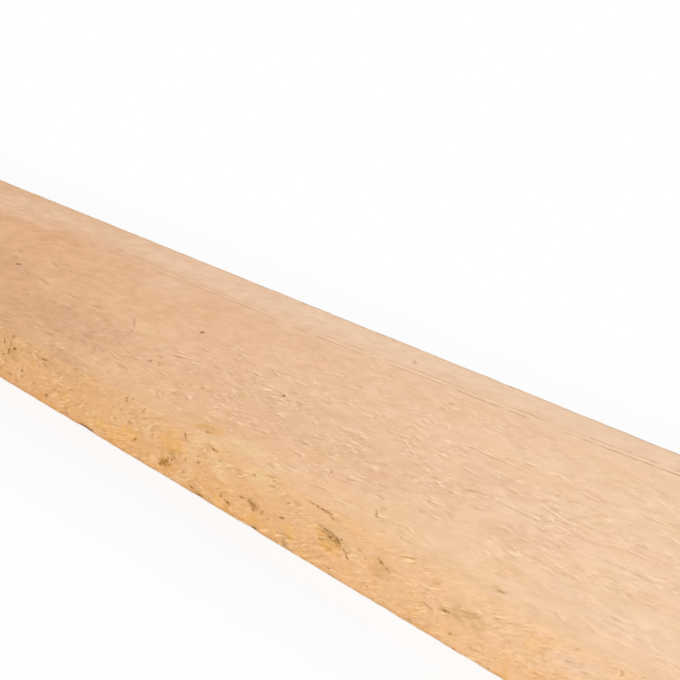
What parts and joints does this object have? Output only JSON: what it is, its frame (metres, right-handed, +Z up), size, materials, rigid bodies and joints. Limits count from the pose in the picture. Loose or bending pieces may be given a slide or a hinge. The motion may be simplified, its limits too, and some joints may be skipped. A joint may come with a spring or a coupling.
{
  "type": "timber plank",
  "caption": "Straight rough-sawn softwood plank with two wide faces, two narrow sawn edges, worn arrises and square crosscut ends, for building, decking and shelving.",
  "frame": {"origin": "middle of the underside, on the surface that the plank lies on", "axes": "+X along the grain and the length, +Y across the width from the front edge to the back edge, +Z up through the thickness"},
  "size_m": [2, 0.2, 0.04],
  "materials": {
    "sawn_wood": "rough-sawn pinkish tan softwood, bare and dry, with a warmer orange front edge"
  },
  "bodies": {
    "root": {"plank": "sawn_wood"}
  },
  "joints": []
}
